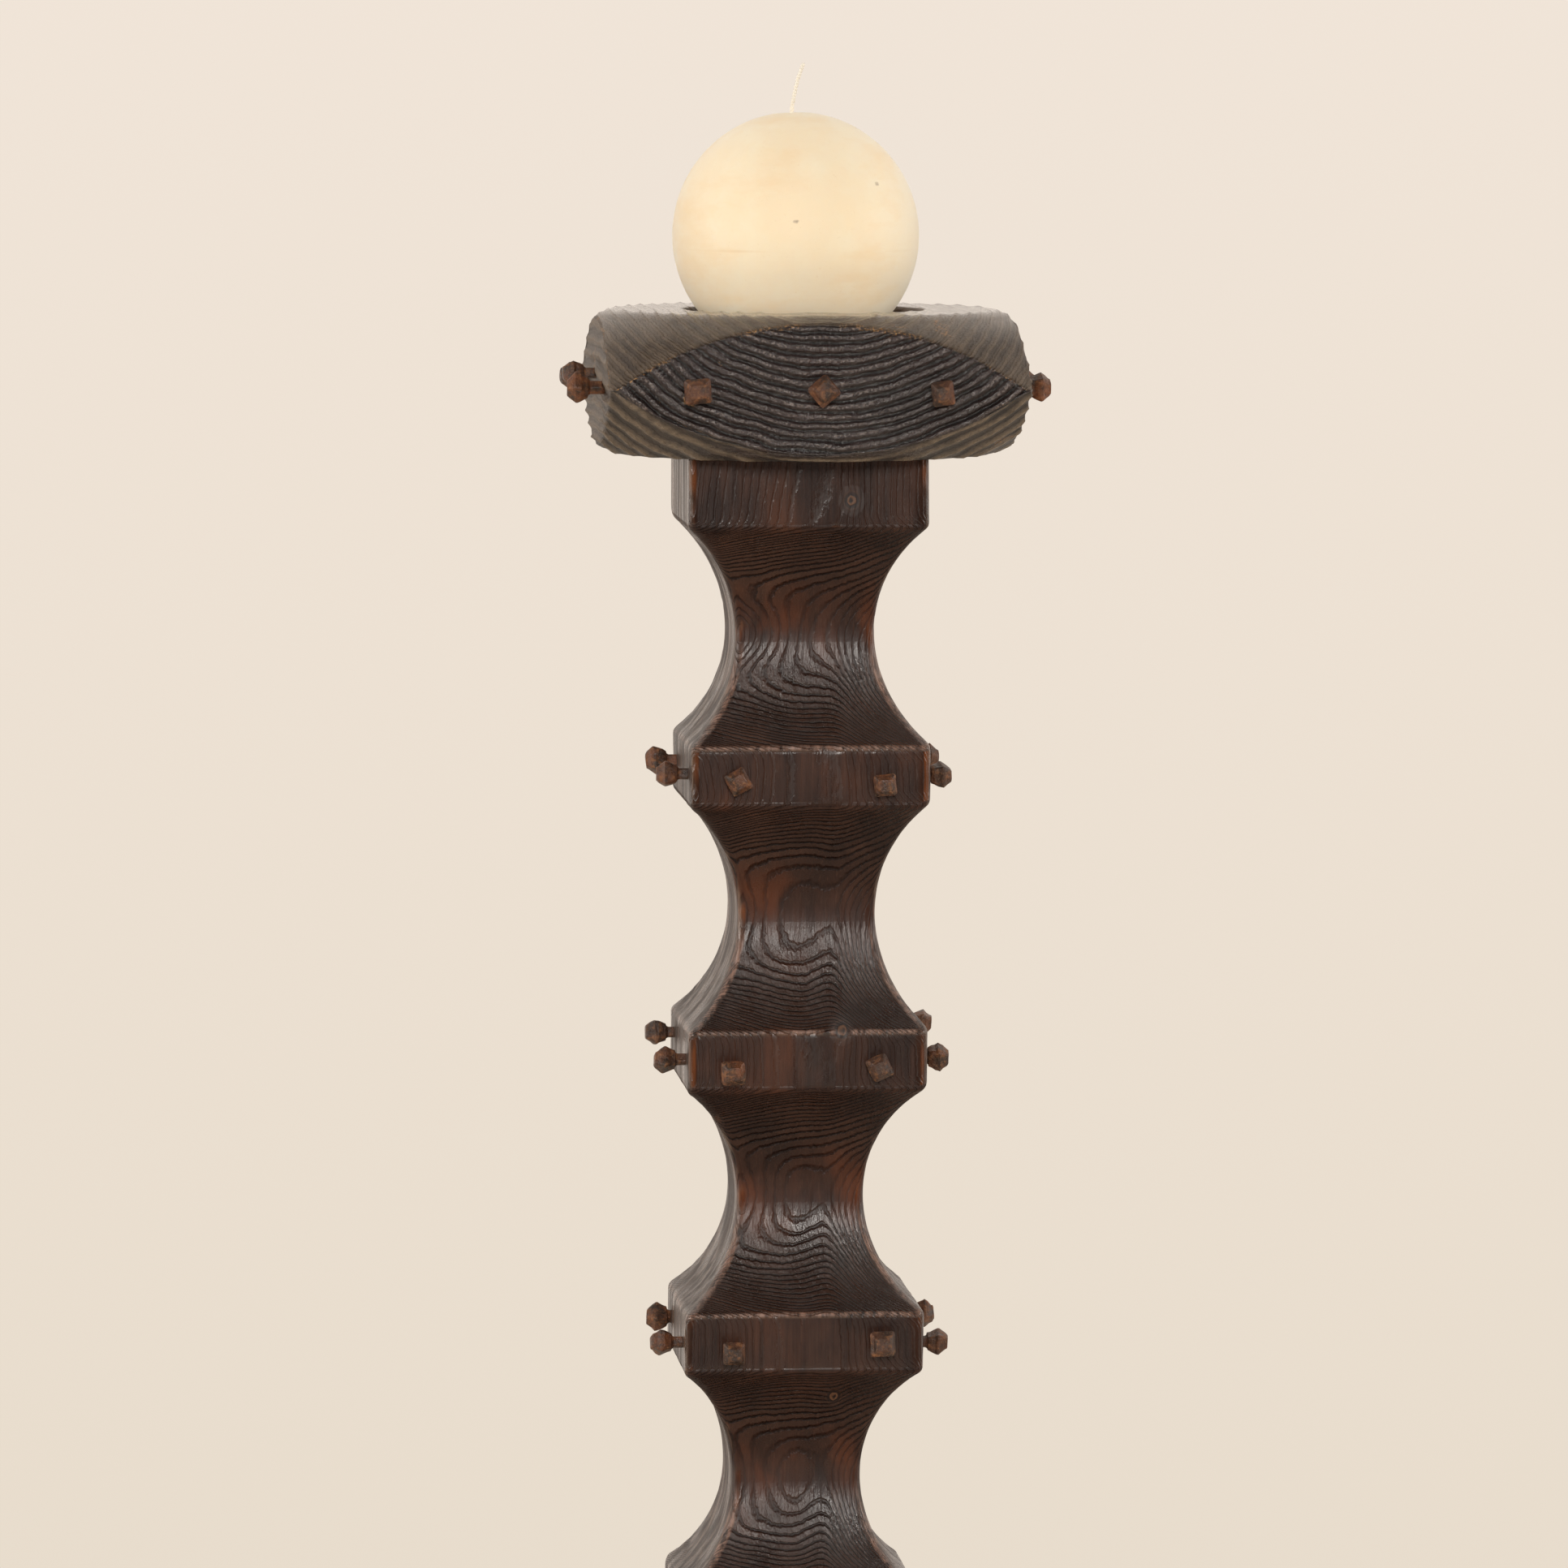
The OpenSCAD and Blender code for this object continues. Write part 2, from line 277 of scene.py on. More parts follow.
def post_fields(p):
    """Ring number, tone and distance from a knot of the post's timber at points p."""
    x, y, z = p[..., 0], p[..., 1], p[..., 2]
    depth = POST_TOP - z
    wander = np.stack([0 * z, 0 * z, z], -1)
    px = np.interp(depth, PITH_DEPTHS, PITH_X) + 1.5 * noise(wander, 70, 3)
    py = PITH_Y + 4.0 * noise(wander, 120, 4)
    side = flare(z)
    calm = 0.25 + 0.75 * side ** 2
    # the rings aren't round: to the pith's right they run on level, and on the flares they bend less
    reach = np.interp(depth, [0, 112, 150], [0.95, 0.95, 1.25]) * (1 - 0.5 * side ** 2)
    r = np.hypot(reach * np.minimum(x - px, 0), y - py)
    first = np.exp(-((depth - 72) / 34) ** 2)     # 1 in the first neck, where the seam is faint
    r = r - 0.06 * x * first
    waves = 0.4 * noise(p, [11, 11, 13], 12) + 0.16 * noise(p, [3.5, 3.5, 5], 13)
    r = r + 1.2 * fractal(p, [36, 36, 44], 11) + calm * waves
    # the rings fold over the seam, and fall away to its right
    front = smooth(5, -12, y)
    past_seam = x - (SEAM_X + 1.6 * noise(wander, 60, 5))
    fold = (1.3 + 1.1 * side) * (1 - 0.75 * first) * np.exp(-(np.minimum(past_seam, 0) / SEAM_HALF) ** 2)
    beyond = 0.5 * (past_seam + np.hypot(past_seam, SEAM_TURN))
    r = r + front * (fold - (0.5 + 0.3 * side) * (1 - 0.3 * first) * beyond)
    near = np.full_like(r, FAR_FROM_KNOT)
    for kx, kz, kr in KNOTS:
        d = np.hypot((x - kx) * 1.05, (z - (POST_TOP - kz)) * 0.9) + 0.25 * noise(p, 2.5, 31)
        r = r + front * 1.5 * np.exp(-d / (kr * 1.6))
        near = np.minimum(near, d / kr + FAR_FROM_KNOT * (1 - front))
    number = uneven(r, RING_WIDTH, 21)
    tone = fractal(p, [22, 22, 70], 51)
    return number, tone, near


def post_rows(z_high, z_low, step):
    """Heights from z_high down to z_low, evenly spaced along the scalloped surface."""
    fine = np.arange(z_high, z_low, -0.05)
    w = half_width(fine, 0)
    length = np.concatenate([[0], np.cumsum(np.hypot(np.diff(fine), np.diff(w)))])
    count = int(length[-1] / step) + 1
    return np.interp(np.linspace(0, length[-1], count), length, fine)


POST_CORNER = 3.6      # the post's worn corners, as a radius
CORNER_STEPS = 5


def post_piece(name, z_high, z_low, step, per_side):
    """A length of the post, with its rings, worn corners and chips cut into the mesh."""
    rows = post_rows(z_high, z_low, step)[::-1]
    halves = [half_width(rows, side) for side in range(4)]
    loop = []
    for side in range(4):
        turn = math.radians(-90 + 90 * side)
        for t in np.linspace(-1, 1, per_side):
            loop.append((side, t, turn, 0.0))
        for k in range(1, CORNER_STEPS):
            loop.append((side, 1.0, turn, k / CORNER_STEPS))
    p = np.zeros((len(rows), len(loop), 3))
    for c, (side, t, turn, into) in enumerate(loop):
        ahead = halves[(side + 1) % 4]
        behind = halves[(side + 3) % 4]
        # t runs from the previous side's edge to the next side's edge
        lo, hi = -(behind - POST_CORNER), ahead - POST_CORNER
        along = lo + (hi - lo) * (t + 1) / 2
        angle = into * math.pi / 2
        a = along + POST_CORNER * math.sin(angle)
        o = halves[side] - POST_CORNER + POST_CORNER * math.cos(angle)
        dx, dy = math.cos(turn), math.sin(turn)        # outward
        sx, sy = -dy, dx                                # along the side, anticlockwise
        p[:, c, 0] = dx * o + sx * a
        p[:, c, 1] = dy * o + sy * a
        p[:, c, 2] = rows
    n = grid_normals(p)
    number, tone, near = post_fields(p)
    bend = edge_field(p, n, 3)
    layers = noise(np.stack([number, p[..., 2] / 40, 0 * number], -1), [2.2, 1, 1], 60)
    cut = 0.15 * layers * (0.4 + 0.6 * np.abs(n[..., 2])) + 0.3 * bend * (0.5 + 0.5 * noise(p, 4, 61))
    chips = smooth(0.5, 0.85, noise(p, [5, 5, 7], 62)) * bend
    cut = cut + 0.6 * chips + 0.08 * fractal(p, [1.5, 1.5, 12], 63, 2)
    shell = p - n * cut[..., None]
    shell[..., 0] += bow(p[..., 2])
    side_face = smooth(0.5, 0.8, np.abs(n[..., 0]))
    band = smooth(POST_HALF - 2.5, POST_HALF - 0.8, np.max(np.abs(p[..., :2]), axis=-1))
    return grid_object(name, shell, {
        "rings": number, "tone": tone, "near": near, "side": side_face, "edge": bend, "band": band,
        "chip": chips, "up": np.clip(n[..., 2], -1, 1)})


def edge_field(p, n, reach):
    """1 where the surface turns sharply outward and 0 where it is flat, from normals a few steps apart."""
    out = np.zeros(p.shape[:2])
    for axis in (0, 1):
        for k in range(1, reach + 1):
            ahead, behind = np.roll(n, -k, axis=axis), np.roll(n, k, axis=axis)
            pa, pb = np.roll(p, -k, axis=axis), np.roll(p, k, axis=axis)
            turn = np.sum((ahead - behind) * (pa - pb), -1) / np.maximum(np.sum((pa - pb) ** 2, -1), 0.05)
            turn = np.clip(turn, 0, 1)
            if axis == 0:
                turn[:k] = 0
                turn[-k:] = 0
            out = np.maximum(out, smooth(0.05, 0.32, turn))
    return out


# ---- turned blocks
RIM_IN = 7.0           # the flat top ends this far inside the block's faces
RIM_DROP = 3.1         # fall of the rounded rim by the middle of a face
RIM_POWER = 1.4
TIP_IN = 1.2           # how far each of the four tips is worn away
TIP_DROP = 0.5         # how far the tips are below mid height
LIP = 0.7              # the worn lip around each face
ROW_POWER = 0.9        # crowds the shoulders' rows a little toward the lip


def block_grid(width, height, rows_scale, columns, recess):
    """A square block with lathe-turned shoulders as a grid of profile rows around its axis.

    Returns its points, relief strengths and a mask of its four sawn faces. recess is None or
    (radius, depth, bore radius, bore depth)."""
    half = width / 2
    rim, tip = half - RIM_IN, half * math.sqrt(2) - TIP_IN
    tip_z = height / 2 - TIP_DROP
    per = columns // 4
    t = (np.arange(per) + 0.5) / per * 2 - 1
    quarter = np.arctan(t)
    theta = np.concatenate([quarter - math.pi / 2 + k * math.pi / 2 for k in range(4)])
    square = half / np.maximum(np.abs(np.cos(theta)), np.abs(np.sin(theta)))
    reach = smooth_min(square, np.full_like(square, tip), 2.0)

    def shoulder(r):
        s = np.clip((r - half) / (tip - half), 0, 1.05)
        return 0.72 * s + 0.28 * s * s

    def rim_fall(r):
        return RIM_DROP * np.clip((r - rim) / (half - rim), 0, 1) ** RIM_POWER

    def top_z(r):
        return height - rim_fall(r) - (height - tip_z - RIM_DROP) * shoulder(r)

    def low_z(r):
        return rim_fall(r) + (tip_z - RIM_DROP) * shoulder(r)

    rings, relief, faces = [], [], []

    def spread(value):
        return np.broadcast_to(value, theta.shape).astype(float)

    def add(r, z, strength, face=0.0):
        rings.append((spread(r), spread(z)))
        relief.append(spread(strength))
        faces.append(spread(face))

    def line(r0, z0, r1, z1, count, strength, skip=True):
        count = max(2, int(count * rows_scale))
        for k in range(1 if skip else 0, count + 1):
            add(r0 + (r1 - r0) * k / count, z0 + (z1 - z0) * k / count, strength)

    if recess:
        radius, depth, bore, sunk = recess
        floor = height - depth
        line(1.0, floor - sunk, bore, floor - sunk, 3, 0.05, skip=False)
        line(bore, floor - sunk, bore, floor - 0.5, 6, 0.05)
        line(bore, floor - 0.5, bore + 0.6, floor, 1, 0.1)
        line(bore + 0.6, floor, radius - 1, floor, 22, 0.25)
        line(radius - 1, floor, radius, floor + 0.8, 2, 0.2)
        line(radius, floor + 0.8, radius, height - 1.2, 16, 0.3)
        line(radius, height - 1.2, radius + 1.2, height, 3, 0.5)
        line(radius + 1.2, height, rim, height, 34, 0.85)
    else:
        line(1.0, height, rim, height, 60, 0.85, skip=False)
    count = int(32 * rows_scale)
    for k in range(1, count + 1):
        r = rim + (reach - LIP - rim) * (k / count) ** ROW_POWER
        add(r, top_z(r), 0.8)
    hi, lo = top_z(reach), low_z(reach)
    gap = np.clip(hi - lo, 0.02, None)
    bev = np.minimum(0.8, gap * 0.3)
    for k in (0.35, 0.75):
        add(reach - LIP * (1 - k), hi - bev * k * k, 0.9, k)
    count = int(52 * rows_scale)
    for k in range(count + 1):
        add(reach, (hi - bev) + (lo + bev - hi + bev) * k / count, 1.0, 1.0)
    for k in (0.75, 0.35):
        add(reach - LIP * (1 - k), lo + bev * k * k, 0.9, 1.0)
    count = int(30 * rows_scale)
    for k in range(count, 0, -1):
        r = rim + (reach - LIP - rim) * (k / count) ** ROW_POWER
        add(r, low_z(r), 0.85)
    line(rim, 0.0, 3.0, 0.0, 18, 0.35, skip=False)
    r = np.array([a for a, b in rings])
    z = np.array([b for a, b in rings])
    p = np.stack([r * np.cos(theta), r * np.sin(theta), z], -1)[::-1]
    return p, np.array(relief)[::-1], np.array(faces)[::-1]


def block_piece(name, lo, hi, pith, ring_width, depth_mm, rows_scale, columns, seed,
                recess=None, bore_shift=0.0):
    """A turned block in the box lo, hi, with rings depth_mm deep around a pith at (X, Z) along Y."""
    width, height = hi[0] - lo[0], hi[2] - lo[2]
    p, relief, face = block_grid(width, height, rows_scale, columns, recess)
    n = grid_normals(p)
    x, y, z = p[..., 0], p[..., 1], p[..., 2]
    px, pz = pith
    slow = noise(p, [900, 60, 900], seed)
    r = np.hypot(x - px - 3 * slow, z - pz)
    r = r + 2.6 * fractal(p, [34, 90, 26], seed + 1) + 0.6 * noise(p, [9, 14, 7], seed + 2)
    r = r + 0.22 * noise(p, [3.2, 6, 3.2], seed + 8)
    number = uneven(r, ring_width, seed + 3)
    turned_to_front = smooth(0.9, 1.05, np.abs(y) / np.maximum(np.abs(x), 1))
    under_lip = smooth(0.35, 0.6, np.abs(n[..., 1])) * smooth(-0.55, -0.7, n[..., 2]) * smooth(8, 4, z)
    end_grain = np.maximum(face * turned_to_front, under_lip)
    ridge = ring_profile(number, end_grain)
    layer = np.floor(number + 0.5 * (1 - end_grain))
    angle = np.arctan2(x - px, pz - z) * r
    strength = 0.85 + 0.35 * noise(np.stack([layer * 7, angle / 11, y / 30], -1), [7, 1, 1], seed + 4)
    ridge = ridge * np.clip(strength, 0.3, 1)
    tone = fractal(p, [30, 40, 20], seed + 5)
    edge = edge_field(p, n, 2)
    up = np.clip(n[..., 2], -1, 1)
    calm = 1 - 0.4 * smooth(0.3, 0.6, up) - 0.1 * smooth(0.85, 0.97, up)
    cut = depth_mm * relief * calm * (1 - ridge)
    cut = cut + 0.35 * edge * (0.5 + 0.5 * noise(p, 5, seed + 6)) * np.clip(relief * 1.5, 0, 1)
    cut = cut + 0.22 * relief * fractal(p, [1.6, 9, 1.6], seed + 7, 2)
    shell = p - n * (cut - 0.45 * depth_mm * relief)[..., None]
    shell[..., 2] = np.maximum(shell[..., 2], 0.0)
    if recess:
        shell[..., 0] += bore_shift * ((np.hypot(x, y) < recess[2] + 0.7) & (z > 5))
    shell += [(lo[0] + hi[0]) / 2, (lo[1] + hi[1]) / 2, lo[2]]
    return grid_object(name, shell, {
        "rings": number, "tone": tone, "edge": edge, "up": up, "relief": relief, "end": end_grain})


# ---- forged studs
STUD_GAP = 18          # studs in a row stand further apart than this, and none is wider


def stud_places(node, half, middle):
    """Each stud of a CAD node: (side, along, height, its tip's distance from the axis, spin)."""
    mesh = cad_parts[node].data
    v = np.empty(len(mesh.vertices) * 3)
    mesh.vertices.foreach_get("co", v)
    m = np.array(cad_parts[node].matrix_world)
    v = (v.reshape(-1, 3) @ m[:3, :3].T + m[:3, 3]) / MM - [middle, 0, 0]
    out = []
    for side in range(4):
        turn = math.radians(90 * side)
        ox, oy = math.sin(turn), -math.cos(turn)
        o = v[:, 0] * ox + v[:, 1] * oy
        a = v[:, 0] * -oy + v[:, 1] * ox
        pick = o > half + 0.5
        if not pick.any():
            continue
        ap, op, zp = a[pick], o[pick], v[pick, 2]
        order = np.argsort(ap)
        groups = np.split(order, np.where(np.diff(ap[order]) > STUD_GAP)[0] + 1)
        for g in groups:
            far = g[op[g] > op[g].max() - 0.1]
            ca, cz = ap[far].mean(), zp[far].mean()
            k = far[np.argmax(zp[far])]
            spin = math.atan2(zp[k] - cz, ap[k] - ca) - math.pi / 4
            out.append((side, ca, cz, op[g].max(), spin))
    return out


STUD_HEAD = 8.4        # length of a stud's head, from neck to tip
SHANK_WIDTHS = [(-0.9, 4.3), (-0.2, 5.0)]           # height from the neck, width
HEAD_WIDTHS = [(0.2, 6.7), (1.5, 7.6), (3.0, 8.7), (4.2, 9.5), (4.9, 9.5), (6.2, 7.9), (7.6, 6.1)]
SIDE_POINTS = 4


def stud_grid(rng, inner, outer):
    """One forged nail head on +Z from inner (in the wood) to outer (its tip), hammered by hand."""
    neck = outer - STUD_HEAD
    levels = [(inner, 4.2), *((neck + z, w) for z, w in SHANK_WIDTHS + HEAD_WIDTHS),
              (outer - 0.2, 5.2), (outer, 4.4)]
    loop = []
    for side in range(4):
        turn = side * math.pi / 2
        for t in np.linspace(-1, 1, SIDE_POINTS):
            loop.append((turn, t, 0.0))
        loop.append((turn, 1.0, 0.5))
    bulge = rng.uniform(-0.15, 0.2)
    loose = np.interp([z - neck for z, w in levels], [-1, 0, 2, 9], [0.05, 0.2, 0.5, 0.5])
    skew = rng.uniform(-0.5, 0.5, (len(levels), 2)) * loose[:, None]
    wide = 1 + rng.uniform(-0.07, 0.07, (2, 4))
    p = np.zeros((len(levels), len(loop), 3))
    for i, (z, w) in enumerate(levels):
        for c, (turn, t, into) in enumerate(loop):
            h = w / 2
            soft = min(1.1, h * 0.35)
            a = t * (h - soft) + soft * math.sin(into * math.pi / 2)
            o = h - soft + soft * math.cos(into * math.pi / 2)
            o += bulge * (1 - t * t) * (0.5 if w > 5.5 else 0.0)
            x, y = o * math.cos(turn) - a * math.sin(turn), o * math.sin(turn) + a * math.cos(turn)
            wide_x = wide[0, 0] * (wide[0, 1] if x > 0 else 1)
            wide_y = wide[0, 2] * (wide[0, 3] if y > 0 else 1)
            p[i, c] = (x * wide_x + skew[i, 0], y * wide_y + skew[i, 1], z)
    tilt = rng.uniform(-0.09, 0.09, 2)
    upper_head = p[6:]
    upper_head[..., 2] += upper_head[..., 0] * tilt[0] + upper_head[..., 1] * tilt[1]
    return p


STUD_SUNK = 4.0        # how deep each shank goes into the wood


def stud_object(node, half, seed, middle):
    """The forged studs of a CAD node, in faces half from the axis at X = middle."""
    rng = np.random.default_rng(seed)
    grids = []
    for side, along, height, tip, spin in stud_places(node, half, middle):
        grow = rng.uniform(0.94, 1.04)
        g = stud_grid(rng, half - STUD_SUNK, tip)
        g[..., :2] *= grow
        c, s = math.cos(spin), math.sin(spin)
        a = g[..., 0] * c - g[..., 1] * s + along
        z = g[..., 0] * s + g[..., 1] * c + height
        o = g[..., 2]
        turn = math.radians(90 * side)
        ox, oy = math.sin(turn), -math.cos(turn)
        # local x runs along the side, local y up, local z outward
        p = np.stack([ox * o - oy * a, oy * o + ox * a, z], -1)
        p[..., 0] += bow(height) if half == POST_HALF else middle
        hammered = 0.16 * np.stack([fractal(p, 2.6, 71 + k, 2) for k in range(3)], -1)
        grids.append(p + hammered * smooth(half, half + 3, o)[..., None])
    return grids_object(node + "_forged", grids)


# ---- candle
BALL_R = 50.0
SEAM_DOWN = 5.2        # the mould's seam runs this far below the ball's middle
# Dents in the ball: turn from the front and height, in radians, then size and depth
DENTS = [
    (-0.09, 0.14, 2.2, -0.12), (0.72, 0.45, 1.6, -0.15), (-0.3, -0.4, 2.0, -0.10), (2.2, 0.2, 2.0, -0.1),
    (3.9, 0.35, 2.6, -0.1)
]
DARK_DENT = -0.11      # a dent deeper than this holds a dark speck
SPECK_R = 0.95
WICK_HALF = 0.8        # half the CAD wick's width
WICK_R = 0.62
WICK_IN = 3.0          # how far into the wax the wick starts
WICK_LEAN = math.radians(14)


def candle_objects():
    """The ball with its flat foot, seam and dents, and the plaited wick."""
    lo, hi = box_mm("candle_wax")
    wick_lo, wick_hi = box_mm("candle_wick")
    r = BALL_R
    mid = hi[2] - r
    floor = lo[2]
    centre_x = (lo[0] + hi[0]) / 2
    cols = 240
    theta = np.arange(cols) / cols * 2 * math.pi
    start = math.asin((floor - mid) / r)
    foot = math.cos(start) * r
    rings = [(2.0, floor), (8.0, floor), (foot - 1.2, floor), (foot - 0.3, floor + 0.15)]
    for lat in np.linspace(start + 0.02, math.radians(88.7), 150):
        rings.append((r * math.cos(lat), mid + r * math.sin(lat)))
    rings += [(1.0, hi[2] - 0.25), (0.85, hi[2] - 0.6)]
    rr = np.array([a for a, b in rings])[:, None]
    zz = np.array([b for a, b in rings])[:, None]
    p = np.stack([rr * np.cos(theta), rr * np.sin(theta), np.broadcast_to(zz, (len(rings), cols))], -1)
    n = grid_normals(p)
    height = p[..., 2] - mid
    seam = np.exp(-((height + SEAM_DOWN + 0.5 * noise(p, 40, 84)) / 0.6) ** 2)
    seam = seam * np.clip(0.35 + 0.65 * noise(p, 14, 81), 0, 1)
    lumps = 0.16 * fractal(p, 38, 82) + 0.03 * fractal(p, 6, 83)
    dent, speck = np.zeros(p.shape[:2]), np.zeros(p.shape[:2])
    for a, b, size, deep in DENTS:
        centre = np.array([math.sin(a) * math.cos(b), -math.cos(a) * math.cos(b), math.sin(b)]) * r
        apart = np.sum((p - (centre + [0, 0, mid])) ** 2, -1)
        dent += deep * np.exp(-apart / size ** 2)
        speck += np.exp(-apart / SPECK_R ** 2) * (deep < DARK_DENT)
    wick_at = (wick_lo[0] + WICK_HALF) - centre_x
    well = -0.9 * np.exp(-(np.hypot(p[..., 0] - wick_at, p[..., 1]) / 3.2) ** 2) * (height > 0)
    shell = p + n * (0.10 * seam + lumps + dent)[..., None]
    shell[..., 2] += well
    shell[..., 2] = np.maximum(shell[..., 2], floor)
    shell[..., 0] += centre_x
    wax = grid_object("ball_candle", shell, {"seam": seam, "speck": speck})

    steps, cols = 150, 30
    t = np.linspace(0, 1, steps)
    start_z = hi[2] - WICK_IN
    s = t * (wick_hi[2] - start_z)
    path_z = start_z + s
    lean = np.cumsum(np.concatenate([[0], np.diff(s)]) * np.tan(WICK_LEAN * 1.08) * smooth(3.0, 8.0, s))
    path_x = wick_lo[0] + WICK_HALF + lean + 0.25 * np.sin(s / 3.1)
    path_y = 0.2 * np.sin(s / 2.3 + 1)
    phi = np.arange(cols) / cols * 2 * math.pi
    twist = s[:, None] * 2.6
    plait = 0.16 * np.cos(2 * phi[None, :] - twist) * np.cos(2 * phi[None, :] + twist)
    body = WICK_R + plait + 0.05 * np.sin(s * 1.9)[:, None]
    body = body * (1 - 0.35 * smooth(0.975, 1.0, t))[:, None]
    x = path_x[:, None] + body * np.cos(phi) * 1.12
    y = path_y[:, None] + body * np.sin(phi) * 0.92
    p = np.stack([x, y, np.broadcast_to(path_z[:, None], x.shape)], -1)
    return wax, grid_object("plaited_wick", p, {})


# ---- materials
class Paint:
    """A material's node tree, built with short calls. Arguments are sockets or plain values."""

    def __init__(self, name):
        self.mat = bpy.data.materials.new(name)
        self.mat.use_nodes = True
        self.tree = self.mat.node_tree
        self.bsdf = next(n for n in self.tree.nodes if n.type == "BSDF_PRINCIPLED")

    def feed(self, node, key, value):
        """Link a socket, or set a constant on the input itself."""
        socket = node.inputs[key]
        if isinstance(value, bpy.types.NodeSocket):
            self.tree.links.new(value, socket)
        elif isinstance(value, (tuple, list)) and len(value) == 3 and socket.type == "RGBA":
            socket.default_value = (*value, 1)
        else:
            socket.default_value = value

    def node(self, kind, props=None, **inputs):
        made = self.tree.nodes.new("ShaderNode" + kind)
        for key, value in (props or {}).items():
            setattr(made, key, value)
        for key, value in inputs.items():
            self.feed(made, key.replace("_", " "), value)
        return made

    def attribute(self, name):
        return self.node("Attribute", {"attribute_name": name}).outputs["Fac"]

    def coordinates(self, scale=(1, 1, 1)):
        coord = self.node("TexCoord").outputs["Object"]
        made = self.node("Mapping", Vector=coord)
        made.inputs["Scale"].default_value = scale
        return made.outputs["Vector"]

    def noise(self, scale, detail=3.0, rough=0.55, stretch=(1, 1, 1)):
        made = self.node("TexNoise", Vector=self.coordinates(stretch), Scale=scale, Detail=detail,
                         Roughness=rough)
        return made.outputs["Fac"]

    def math(self, op, a, b=0.0):
        made = self.node("Math", {"operation": op})
        self.feed(made, 0, a)
        self.feed(made, 1, b)
        return made.outputs[0]

    def times(self, a, b):
        return self.math("MULTIPLY", a, b)

    def plus(self, a, b):
        return self.math("ADD", a, b)

    def total(self, first, *others):
        for other in others:
            first = self.plus(first, other)
        return first

    def inverse(self, a):
        return self.math("SUBTRACT", 1.0, a)

    def span(self, value, lo, hi, out_lo=0.0, out_hi=1.0, kind="LINEAR"):
        """out_lo where value is lo, out_hi where it is hi, and held beyond them."""
        made = self.node("MapRange", {"interpolation_type": kind}, Value=value, From_Min=lo, From_Max=hi,
                         To_Min=out_lo, To_Max=out_hi)
        return made.outputs["Result"]

    def mix(self, share, a, b):
        """Colour a, or b where share is 1."""
        made = self.node("Mix", {"data_type": "RGBA"})
        for index, value in ((0, share), (6, a), (7, b)):
            self.feed(made, index, value)
        return made.outputs[2]

    def mix_value(self, share, a, b):
        """Number a, or b where share is 1."""
        made = self.node("Mix", {"data_type": "FLOAT"})
        for index, value in ((0, share), (2, a), (3, b)):
            self.feed(made, index, value)
        return made.outputs[0]

    def ridges(self, number, rise, top, fall, end):
        """0 in the soft part of each ring and 1 on its hard edge, from the ring number."""
        part = self.math("FRACT", number)
        risen = self.span(part, rise, top, 0.0, 1.0, "SMOOTHSTEP")
        return self.times(risen, self.span(part, fall, end, 1.0, 0.0, "SMOOTHSTEP"))

    def bumps(self, *layers):
        """A normal from layers of relief, each a height, its distance in metres and its strength."""
        normal = None
        for height, distance, strength in layers:
            under = {"Normal": normal} if normal else {}
            made = self.node("Bump", Height=height, Distance=distance, Strength=strength, **under)
            normal = made.outputs["Normal"]
        return normal

    def finish(self, colour, rough, normal=None, **inputs):
        if normal:
            inputs |= {"Normal": normal, "Coat_Normal": normal}
        for key, value in {"Base_Color": colour, "Roughness": rough, **inputs}.items():
            self.feed(self.bsdf, key.replace("_", " "), value)
        return self.mat


def srgb(r, g, b):
    """A colour as seen on a screen, 0 to 255, as the linear colour a shader takes."""
    return tuple(((c / 255 + 0.055) / 1.055) ** 2.4 if c > 10 else c / 255 / 12.92 for c in (r, g, b))


